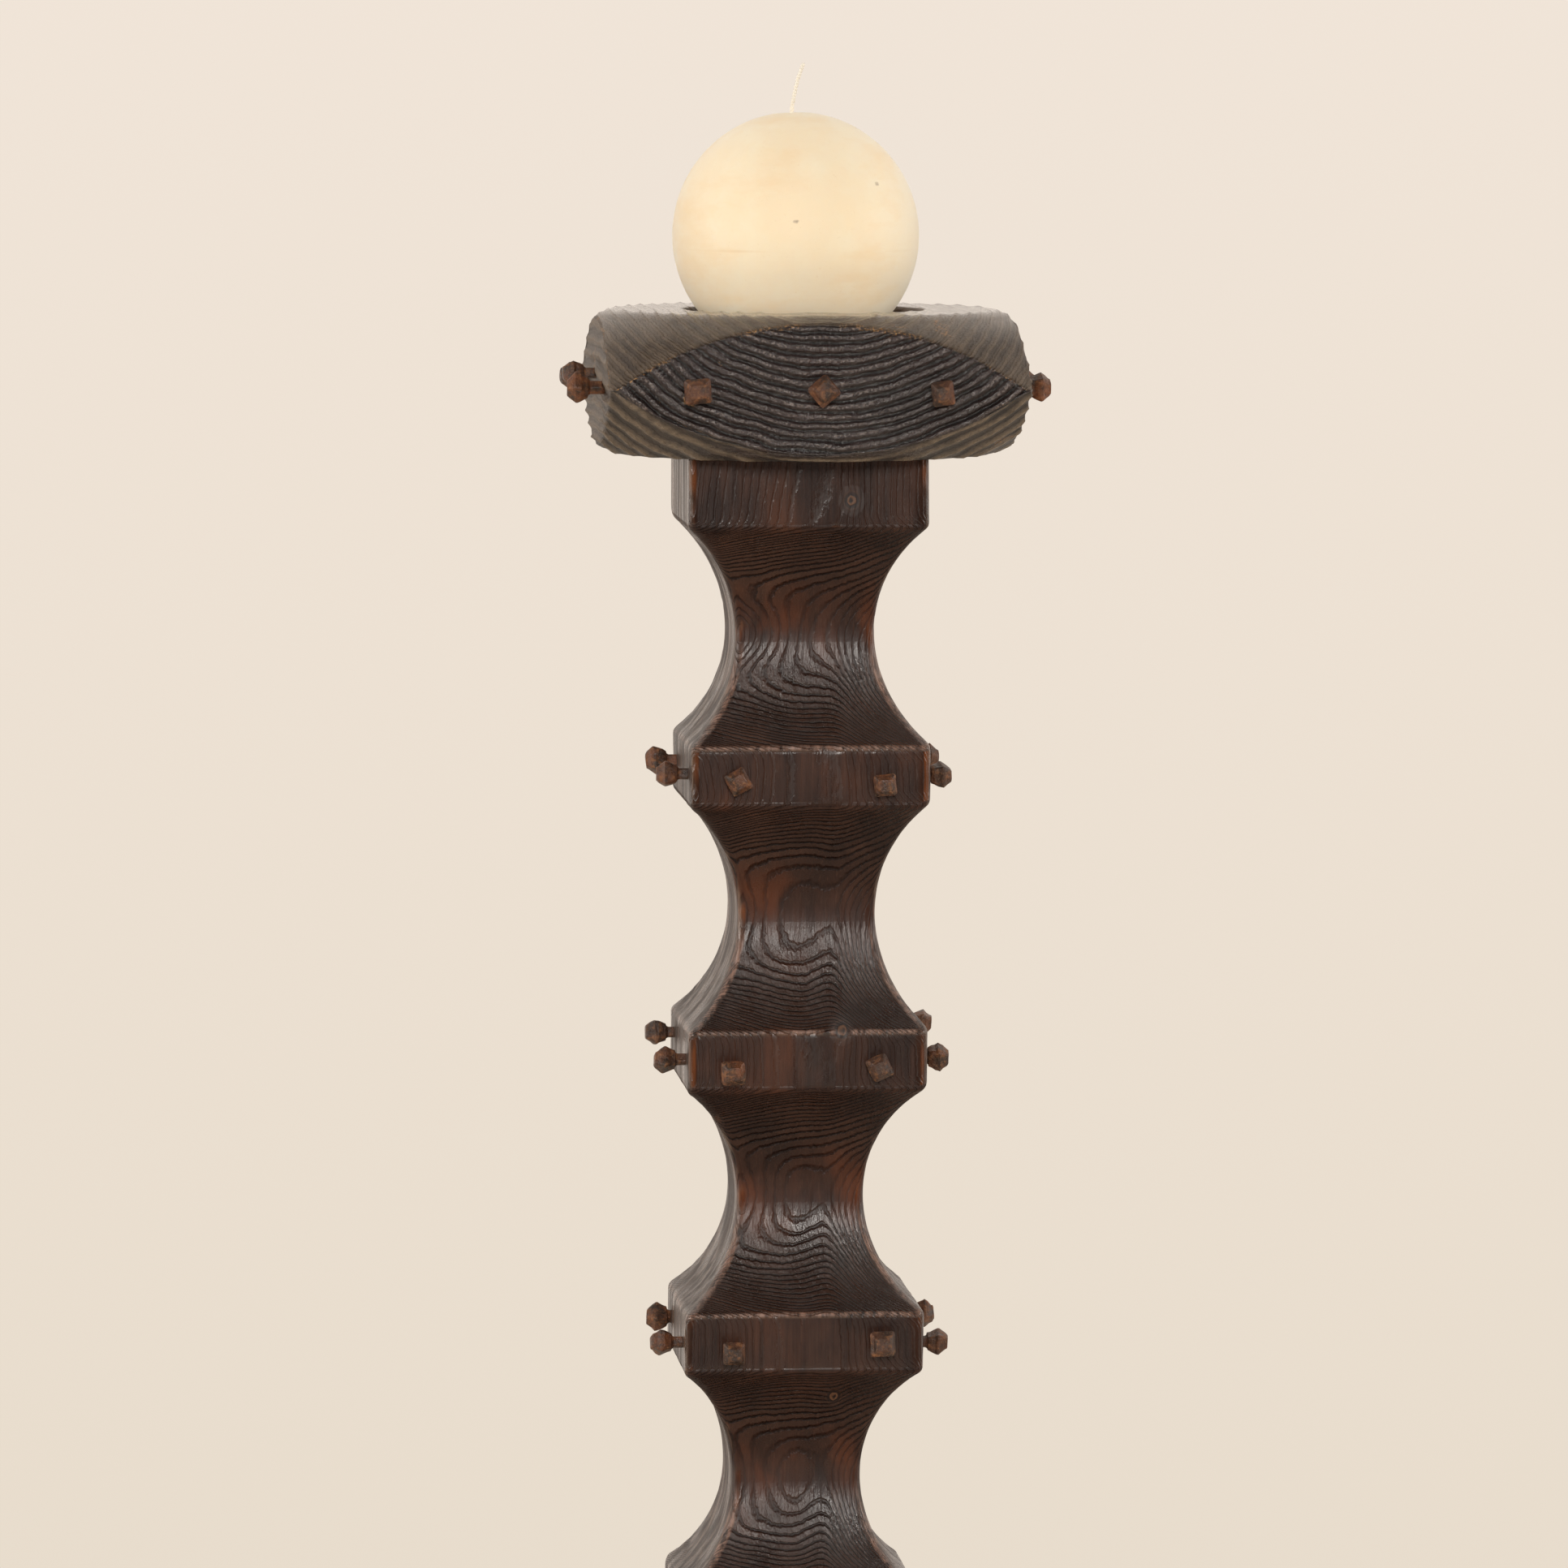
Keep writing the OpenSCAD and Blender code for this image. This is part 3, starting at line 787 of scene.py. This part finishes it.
def post_timber():
    """Brown softwood, brushed so that each ring's hard edge stands out, and waxed."""
    m = Paint("brushed_brown_timber")
    tone, near, up, edge = (m.attribute(name) for name in ("tone", "near", "up", "edge"))
    chip, side, band = (m.attribute(name) for name in ("chip", "side", "band"))
    slope = m.math("ABSOLUTE", up)
    fibre = m.noise(1300, 3, 0.6, (1, 1, 0.04))
    streak = m.noise(420, 3, 0.6, (1, 1, 0.05))
    coarse = m.noise(260, 3, 0.6, (1, 1, 0.09))
    grit = m.noise(2200, 2, 0.6)
    pebble = m.noise(900, 3, 0.65, (1, 1, 0.6))
    patch = m.noise(38, 3, 0.55, (1, 1, 0.6))
    stain = m.noise(75, 3, 0.6, (1, 1, 0.35))
    jitter = m.span(m.noise(600, 2, 0.5, (1, 1, 0.5)), 0.2, 0.8, -0.12, 0.12)
    rings = m.plus(m.attribute("rings"), jitter)
    ridge = m.ridges(rings, 0.02, 0.30, 0.84, 0.99)
    layer = m.node("TexWhiteNoise", {"noise_dimensions": "1D"}, W=m.math("FLOOR", rings)).outputs["Value"]
    ridge = m.times(ridge, m.span(layer, 0.0, 1.0, 0.72, 1.0))
    # thin dark lines between brown ribs, where the cut runs across the rings
    groove = m.mix(m.span(tone, -0.6, 0.6), srgb(22, 13, 10), srgb(32, 19, 15))
    hard = m.mix(m.span(tone, -0.6, 0.6), srgb(56, 36, 28), srgb(76, 50, 38))
    base = m.mix(ridge, groove, hard)
    # red-brown, low in contrast, where it runs along them
    heart = m.mix(m.span(stain, 0.40, 0.62), srgb(52, 30, 22), srgb(74, 44, 32))
    heart = m.mix(m.span(patch, 0.52, 0.64, 0.0, 0.8), heart, srgb(98, 51, 27))
    heart = m.mix(m.times(m.inverse(ridge), 0.42), heart, srgb(24, 13, 11))
    plain = m.mix(m.span(stain, 0.38, 0.64), srgb(54, 34, 26), srgb(74, 48, 37))
    plain = m.mix(m.span(patch, 0.54, 0.68, 0.0, 0.5), plain, srgb(94, 54, 34))
    plain = m.mix(m.times(m.inverse(ridge), 0.2), plain, srgb(30, 18, 14))
    plain = m.mix(m.span(streak, 0.44, 0.66, 0.0, 0.4), plain, srgb(32, 19, 16))
    base = m.mix(m.span(slope, 0.42, 0.12), base, heart)
    base = m.mix(band, base, plain)
    base = m.mix(m.span(patch, 0.46, 0.34, 0.0, 0.45), base, srgb(28, 18, 16))
    base = m.mix(m.span(coarse, 0.45, 0.75, 0.0, 0.35), base, srgb(29, 18, 15))
    base = m.mix(m.span(fibre, 0.56, 0.8, 0.0, 0.25), base, srgb(116, 80, 62))
    upright = m.times(m.span(slope, 0.12, 0.03), m.span(edge, 0.3, 0.8))
    worn = m.times(upright, m.span(coarse, 0.40, 0.62))
    worn = m.times(worn, m.span(patch, 0.42, 0.56))
    base = m.mix(m.times(worn, 0.55), base, srgb(158, 88, 44))
    # painted highlight: pale streaks of light on the bands' upper edges, where light catches them; the
    # corners are worn orange just above
    lit_top_edges = m.times(m.times(m.span(edge, 0.15, 0.6), m.span(up, 0.05, 0.35)), m.span(streak, 0.36, 0.62))
    base = m.mix(m.times(lit_top_edges, 0.75), base, srgb(168, 130, 112))
    base = m.mix(m.span(chip, 0.3, 0.9, 0.0, 0.25), base, srgb(150, 100, 70))
    # the side faces are paler in streaks along the grain
    pale_side_streaks = m.times(side, m.span(coarse, 0.42, 0.60))
    base = m.mix(m.times(pale_side_streaks, 0.5), base, srgb(134, 108, 88))
    plank = m.noise(100, 2, 0.6, (1, 1, 0.12))
    base = m.mix(m.times(side, m.span(plank, 0.44, 0.60, 0.0, 0.7)), base, srgb(48, 33, 26))
    knot_ring = m.ridges(m.times(near, 1.6), 0.40, 0.75, 0.82, 1.0)
    knot = m.mix(knot_ring, srgb(28, 17, 15), srgb(104, 72, 52))
    base = m.mix(m.span(near, 1.15, 0.55), base, knot)
    tilted = m.times(m.span(slope, 0.0, 0.30), m.inverse(band))
    below = m.times(m.span(up, -0.03, -0.15), edge)
    rough = m.total(
        m.span(ridge, 0.0, 1.0, 0.44, 0.29), m.span(grit, 0.3, 0.7, -0.03, 0.05), m.times(band, -0.09),
        m.span(near, 1.8, 1.2, 0.0, 0.25), m.times(below, 0.4),
        m.times(side, m.span(plank, 0.42, 0.60, 0.0, 0.25)),
        m.times(tilted, m.span(stain, 0.40, 0.60, -0.06, 0.10)))
    gloss = m.plus(m.span(up, -0.20, 0.40, 0.20, 0.80), m.times(side, 0.3))
    height = m.times(ridge, m.mix_value(side, m.span(slope, 0.05, 0.30, 0.12, 1.0), 0.8))
    height = m.mix_value(m.span(near, 1.2, 0.7), height, m.times(knot_ring, 0.05))
    normal = m.bumps(
        (height, 0.0008, 1.0),
        (streak, 0.0006, m.mix_value(side, m.mix_value(tilted, 0.15, 0.7), 0.9)),
        (coarse, 0.0010, m.mix_value(side, 0.0, 0.8)),
        (fibre, 0.0003, m.mix_value(tilted, 0.12, 0.5)),
        (pebble, 0.0003, m.mix_value(tilted, 0.1, 0.7)))
    return m.finish(base, rough, normal, Specular_IOR_Level=gloss)


def block_timber(name, top_polish_and_sheen):
    """Near-black softwood; the second argument, 0 to 1, is how polished its flat top is and how strongly
    painted sheen lightens it.
    """
    m = Paint(name)
    rings, tone, edge, up = (m.attribute(name) for name in ("rings", "tone", "edge", "up"))
    relief, end = m.attribute("relief"), m.attribute("end")
    fibre = m.noise(900, 3, 0.6, (1, 0.06, 1))
    coarse = m.noise(190, 3, 0.6, (1, 0.25, 1))
    wave = m.noise(70, 3, 0.5, (1, 0.3, 1))
    pits = m.noise(800, 3, 0.65)
    grit = m.noise(2200, 2, 0.6)
    wear_and_glint_patches = m.noise(34, 3, 0.55)
    jitter = m.span(m.noise(380, 3, 0.6), 0.2, 0.8, -0.09, 0.09)
    part = m.math("FRACT", m.plus(rings, jitter))
    away = m.math("ABSOLUTE", m.math("SUBTRACT", m.times(part, 2.0), 1.0))
    crevice = m.span(away, 0.50, 0.92)
    crest = m.span(away, 0.30, 0.97)
    fine = m.math("FRACT", m.times(m.plus(rings, m.times(jitter, 1.6)), 3.0))
    fine = m.span(m.math("ABSOLUTE", m.math("SUBTRACT", fine, 0.5)), 0.18, 0.45)
    rib = m.mix(m.span(tone, -0.6, 0.6), srgb(39, 27, 26), srgb(66, 48, 44))
    rib = m.mix(m.times(fine, 0.6), rib, srgb(22, 16, 16))
    # painted shade: the crevices between the ribs of the sawn faces are near-black
    front = m.mix(crevice, rib, srgb(12, 8, 8))
    waves, downward = m.span(wave, 0.36, 0.64), m.span(up, 0.25, -0.25)
    hollow = m.mix(waves, srgb(62, 49, 38), srgb(92, 76, 60))
    # painted shade: a darker copy of the hollows, used where the shoulders face down
    shaded_hollow = m.mix(waves, srgb(38, 29, 24), srgb(62, 50, 40))
    hollow = m.mix(downward, hollow, shaded_hollow)
    crest_tint = m.mix(downward, srgb(112, 94, 76), srgb(130, 112, 92))
    side = m.mix(m.times(crest, m.span(coarse, 0.35, 0.55, 0.45, 1.0)), hollow, crest_tint)
    side = m.mix(m.span(coarse, 0.5, 0.72, 0.0, 0.4), side, srgb(40, 32, 27))
    # painted highlight: broken pale glints along the crests of the sawn faces' ribs
    painted_glints = m.times(m.span(away, 0.36, 0.16), m.span(pits, 0.47, 0.60))
    front = m.mix(m.times(painted_glints, m.span(wear_and_glint_patches, 0.40, 0.60, 0.15, 0.6)), front, srgb(132, 116, 108))
    base = m.mix(end, side, front)
    base = m.mix(m.span(fibre, 0.6, 0.85, 0.0, 0.2), base, srgb(110, 94, 80))
    # bare wood shows in flecks along the sawn faces' upper edges, and in a few spots
    flecks = m.times(m.span(edge, 0.35, 0.8), m.span(pits, 0.50, 0.62))
    flecks = m.times(flecks, m.span(wear_and_glint_patches, 0.50, 0.62))
    flecks = m.times(flecks, m.span(relief, 0.7, 0.85))
    flecks = m.times(flecks, m.span(up, -0.1, 0.15))
    base = m.mix(m.times(flecks, 0.85), base, srgb(186, 138, 84))
    spots = m.times(m.span(m.noise(60, 2, 0.5), 0.67, 0.72), m.span(pits, 0.50, 0.58))
    base = m.mix(m.times(spots, 0.8), base, srgb(158, 112, 62))
    # the recess and the underside are cut but not brushed
    plain = m.mix(m.span(fibre, 0.3, 0.8), srgb(78, 52, 36), srgb(124, 88, 62))
    base = m.mix(m.span(relief, 0.32, 0.2), base, plain)
    flat_top = m.span(up, 0.8, 0.97)
    # painted sheen: the flat top is lightened toward pale grey, for its grazing reflection
    base = m.mix(m.times(flat_top, 0.3 * top_polish_and_sheen), base, srgb(150, 138, 122))
    turned = m.mix_value(flat_top, 0.5, 0.5 - 0.3 * top_polish_and_sheen)
    rough = m.mix_value(end, turned, m.span(crevice, 0.0, 1.0, 0.34, 0.5))
    rough = m.plus(rough, m.span(grit, 0.3, 0.7, -0.04, 0.07))
    height = m.mix_value(end, m.times(crest, 0.4), m.inverse(crevice))
    normal = m.bumps(
        (height, 0.0006, 0.9), (fine, m.mix_value(end, 0.0004, 0.00010), 0.8),
        (pits, m.mix_value(end, 0.0012, 0.0006), m.mix_value(end, 0.25, 0.9)),
        (grit, m.mix_value(end, 0.00025, 0.00006), 0.6))
    sparkle = m.times(end, m.span(pits, 0.40, 0.54, 0.15, 1.0))
    coat = m.math("MAXIMUM", sparkle, m.times(flat_top, top_polish_and_sheen))
    coat = m.times(coat, m.span(relief, 0.5, 0.8))
    gloss = m.mix_value(end, m.mix_value(flat_top, 0.5, 0.25 + 0.25 * top_polish_and_sheen), 0.35)
    return m.finish(base, rough, normal, Specular_IOR_Level=gloss, Coat_Weight=coat, Coat_Roughness=0.12)


def forged_iron():
    """Dark forged iron with rust and pale scale."""
    m = Paint("forged_iron")
    each = m.noise(30, 2, 0.5)
    wide = m.noise(160, 3, 0.6)
    scale = m.noise(420, 3, 0.6)
    fine = m.noise(1500, 4, 0.65)
    rust = m.mix(m.span(each, 0.38, 0.62), srgb(78, 50, 36), srgb(114, 67, 40))
    base = m.mix(m.span(wide, 0.38, 0.6), srgb(56, 39, 30), rust)
    base = m.mix(m.span(scale, 0.52, 0.70, 0.0, 0.7), base, srgb(148, 98, 60))
    base = m.mix(m.span(scale, 0.42, 0.3, 0.0, 0.7), base, srgb(40, 31, 28))
    base = m.mix(m.span(fine, 0.56, 0.72, 0.0, 0.45), base, srgb(172, 134, 98))
    rough = m.plus(m.span(scale, 0.35, 0.6, 0.30, 0.52), m.span(fine, 0.3, 0.7, -0.05, 0.1))
    normal = m.bumps((scale, 0.0008, 0.7), (fine, 0.0003, 0.7))
    return m.finish(base, rough, normal, Metallic=0.1)


def wax_material():
    """Ivory wax, clouded, that light goes through a little."""
    m = Paint("ivory_wax")
    wide = m.noise(14, 2, 0.5)
    cloud = m.noise(70, 4, 0.6)
    fleck = m.noise(900, 2, 0.5)
    seam = m.attribute("seam")
    base = m.mix(m.span(wide, 0.35, 0.65), srgb(248, 232, 208), srgb(246, 228, 199))
    base = m.mix(m.span(cloud, 0.45, 0.7, 0.0, 0.35), base, srgb(250, 238, 216))
    base = m.mix(m.span(fleck, 0.66, 0.8, 0.0, 0.3), base, srgb(226, 200, 160))
    drift = m.noise(26, 4, 0.65, (1, 1, 2.5))
    base = m.mix(m.span(drift, 0.5, 0.68, 0.0, 0.4), base, srgb(240, 212, 168))
    base = m.mix(m.span(seam, 0.2, 1.0, 0.0, 0.5), base, srgb(228, 198, 152))
    base = m.mix(m.span(m.attribute("speck"), 0.25, 0.8, 0.0, 0.8), base, srgb(120, 100, 76))
    rough = m.span(cloud, 0.3, 0.7, 0.46, 0.60)
    normal = m.bumps((cloud, 0.0002, 0.35), (fleck, 0.00005, 0.4))
    return m.finish(base, rough, normal, Subsurface_Weight=1.0, Subsurface_Scale=0.02,
                    Subsurface_Radius=(0.6, 0.6, 0.6), Specular_IOR_Level=0.3)


def wick_material():
    m = Paint("waxed_cotton")
    fine = m.noise(2400, 3, 0.6)
    base = m.mix(m.span(fine, 0.35, 0.65), srgb(236, 226, 206), srgb(250, 245, 234))
    normal = m.bumps((fine, 0.0001, 0.8))
    return m.finish(base, m.span(fine, 0.3, 0.7, 0.7, 0.9), normal)


def steel_material():
    m = Paint("zinc_steel")
    wide, fine = m.noise(160, 3, 0.6), m.noise(1800, 3, 0.6)
    base = m.mix(m.span(wide, 0.35, 0.65), srgb(150, 150, 148), srgb(176, 176, 172))
    base = m.mix(m.span(fine, 0.6, 0.75, 0.0, 0.4), base, srgb(110, 104, 96))
    normal = m.bumps((fine, 0.00008, 0.6))
    return m.finish(base, m.span(fine, 0.3, 0.7, 0.28, 0.46), normal, Metallic=1.0)


def beech_material():
    m = Paint("dowel_beech")
    fibre, fleck = m.noise(700, 3, 0.6, (1, 1, 0.05)), m.noise(1600, 2, 0.5, (1, 1, 0.3))
    base = m.mix(m.span(fibre, 0.3, 0.7), srgb(188, 150, 108), srgb(214, 182, 140))
    base = m.mix(m.span(fleck, 0.6, 0.75, 0.0, 0.5), base, srgb(150, 108, 72))
    return m.finish(base, m.span(fibre, 0.3, 0.7, 0.5, 0.7), m.bumps((fibre, 0.0002, 0.6)))


def floor_material():
    m = Paint("pale_floor")
    base = m.mix(m.span(m.noise(3, 3, 0.5), 0.3, 0.7), (0.80, 0.745, 0.655), (0.82, 0.765, 0.675))
    return m.finish(base, 0.9, None, Specular_IOR_Level=0.1)


def paint(obj, material):
    obj.data.materials.clear()
    obj.data.materials.append(material)


def dress(obj, material, slot_name, body, *nodes):
    """Give a piece its material, and put it on a body in place of CAD nodes; slot_name is not used."""
    paint(obj, material)
    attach(obj, body)
    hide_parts(*nodes)


# ---- the object
ROOT, CANDLE = "candlestick", "candle"
post_mat = post_timber()
SPLIT = NECKS[3][1]    # the post is two meshes, the finer one where the photograph's part is
upper = post_piece("post_upper", POST_TOP, SPLIT, 1.15, 42)
lower = post_piece("post_lower", SPLIT, POST_LO[2], 1.5, 36)
dress(upper, post_mat, "brown_wood", ROOT, "post")
dress(lower, post_mat, "brown_wood", ROOT, "post")

RECESS = (48.0, 18.0, 14.0, 9.0)   # the candle's recess and the screw's bore: radius and depth of each
head = block_piece("head_turned", HEAD_LO, HEAD_HI, (4.0, 118.0), 4.2, 1.4, 0.92, 480, 201,
                   recess=RECESS, bore_shift=-HEAD_MIDDLE)
dress(head, block_timber("brushed_black_timber", 0.95), "charred_wood", ROOT, "head_block")
base = block_piece("base_turned", BASE_LO, BASE_HI, (-6.0, 170.0), 4.6, 1.3, 0.90, 560, 301)
dress(base, block_timber("brushed_black_timber_base", 0.0), "charred_wood", ROOT, "base_block")

# each stud node's faces: their distance from the axis, and the axis's X
STUD_FACES = {"band": (POST_HALF, 0.0), "head": (HEAD_HALF, HEAD_MIDDLE), "base": (BASE_HI[0], 0.0)}
FIRST_STUD_SEED = 900
iron = forged_iron()
for count, node in enumerate(n for n in sorted(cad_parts) if "_studs" in n):
    half, middle = STUD_FACES[node[:4]]
    dress(stud_object(node, half, FIRST_STUD_SEED + count, middle), iron, "forged_iron", ROOT, node)

wax, wick = candle_objects()
dress(wax, wax_material(), "wax", CANDLE, "candle_wax")
dress(wick, wick_material(), "wick", CANDLE, "candle_wick")

# the CAD's own fixings stay as they are, with their edges softened
steel, beech = steel_material(), beech_material()
FIXINGS = {"head_screw": steel, "head_washer": steel, "base_screws": steel, "base_washers": steel,
           "head_dowels": beech}
for node, material in FIXINGS.items():
    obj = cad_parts[node]
    paint(obj, material)
    bevel = obj.modifiers.new("soft_edges", "BEVEL")
    bevel.width, bevel.segments, bevel.limit_method = 0.3 * MM, 2, "ANGLE"

# ---- stage, light, camera
bpy.ops.mesh.primitive_circle_add(vertices=96, radius=2.8, fill_type="NGON", location=(0, 0, -0.0002))
floor = bpy.context.object
floor.name = "floor"
floor.data.materials.append(floor_material())


AIM = np.array([0, 0, 0.95])   # the height that the lights point at
LIGHT_COLOUR = (1.0, 0.96, 0.91)


def pose(right, up, back, place):
    """A world matrix from three axes and a place."""
    return Matrix([[right[i], up[i], back[i], place[i]] for i in range(3)] + [[0, 0, 0, 1]])


def box_light(name, azimuth, elevation, distance, size, power):
    """A square softbox aimed at AIM; azimuth 0 is in front of the object and grows to its right."""
    az, el = math.radians(azimuth), math.radians(elevation)
    toward = np.array([math.sin(az) * math.cos(el), -math.cos(az) * math.cos(el), math.sin(el)])
    data = bpy.data.lights.new(name, "AREA")
    data.shape, data.size, data.energy, data.color = "SQUARE", size, power, LIGHT_COLOUR
    obj = bpy.data.objects.new(name, data)
    bpy.context.scene.collection.objects.link(obj)
    side = np.cross([0, 0, 1.0], toward)
    side /= np.linalg.norm(side)
    obj.matrix_world = pose(side, np.cross(toward, side), toward, AIM + distance * toward)
    obj.visible_camera = False
    return obj


box_light("front", -3, 14, 3.4, 0.55, 46)
box_light("left", -80, 12, 3.0, 1.4, 38)
box_light("right", 80, 12, 3.0, 1.4, 36)
box_light("high", -8, 40, 3.2, 1.4, 9)
box_light("low", 0, -14, 3.2, 1.4, 3)

# two cards, out of the picture, that light the candle alone and are shaded by nothing else
only_candle = bpy.data.collections.new("lit_by_cards")
for obj in (wax, wick):
    only_candle.objects.link(obj)
for name, elevation, power in (("card_low", -62, 31), ("card_high", 62, 23)):
    card = box_light(name, 0, elevation, 3.0, 1.4, power)
    card.light_linking.receiver_collection = only_candle
    card.light_linking.blocker_collection = only_candle

# The world lights the object from behind and its sides, and dimly from the front. The camera sees an even
# pale wall instead.
world = bpy.data.worlds.new("studio")
bpy.context.scene.world = world
world.use_nodes = True
tree = world.node_tree
tree.nodes.clear()


def world_node(kind, **inputs):
    """A node of the world; an input is named, or numbered after an underscore."""
    made = tree.nodes.new("ShaderNode" + kind)
    for key, value in inputs.items():
        key = int(key[1:]) if key[0] == "_" else key.replace("_", " ")
        if isinstance(value, bpy.types.NodeSocket):
            tree.links.new(value, made.inputs[key])
        else:
            made.inputs[key].default_value = value
    return made


direction = world_node("SeparateXYZ", Vector=world_node("TexCoord").outputs["Generated"])
behind = world_node("MapRange", Value=direction.outputs["Y"], From_Min=0.0, From_Max=0.5,
                    To_Min=0.02, To_Max=0.95)
light = world_node("Background", Color=(1.0, 0.89, 0.79, 1), Strength=behind.outputs["Result"])
rise = world_node("MapRange", Value=direction.outputs["Z"], From_Min=-0.20, From_Max=0.02)
wall_ramp = world_node("ValToRGB", Fac=rise.outputs["Result"])
wall_ramp.color_ramp.elements[0].color = (0.800, 0.712, 0.600, 1)
wall_ramp.color_ramp.elements[1].color = (0.880, 0.785, 0.694, 1)
wall = world_node("Background", Color=wall_ramp.outputs["Color"], Strength=1.0)
seen = world_node("LightPath").outputs["Is Camera Ray"]
mixed = world_node("MixShader", Fac=seen, _1=light.outputs[0], _2=wall.outputs[0])
world_node("OutputWorld", Surface=mixed.outputs[0])

LENS = 197.4                              # mm, on a sensor 36 mm wide
SIGHT = (5.189, 5.310, 0.185)             # yaw, pitch and roll in degrees
STAND = (-321.1, -3475.4, 130.8)          # the camera's place, with its height taken from the head's top
camera_data = bpy.data.cameras.new("camera")
camera = bpy.data.objects.new("camera", camera_data)
bpy.context.scene.collection.objects.link(camera)
camera_data.sensor_width = 36
camera_data.lens = LENS
camera_data.clip_end = 60
yaw, pitch, roll = (math.radians(a) for a in SIGHT)
forward = np.array([math.sin(yaw) * math.cos(pitch), math.cos(yaw) * math.cos(pitch), -math.sin(pitch)])
right = np.array([math.cos(yaw), -math.sin(yaw), 0])
over = np.cross(right, forward)
cos_roll, sin_roll = math.cos(roll), math.sin(roll)
right, over = cos_roll * right + sin_roll * over, -sin_roll * right + cos_roll * over
camera.matrix_world = pose(right, over, -forward, (np.array(STAND) + [0, 0, HEAD_HI[2]]) * MM)
bpy.context.scene.camera = camera

view = bpy.context.scene.view_settings
view.view_transform, view.look = "Standard", "None"
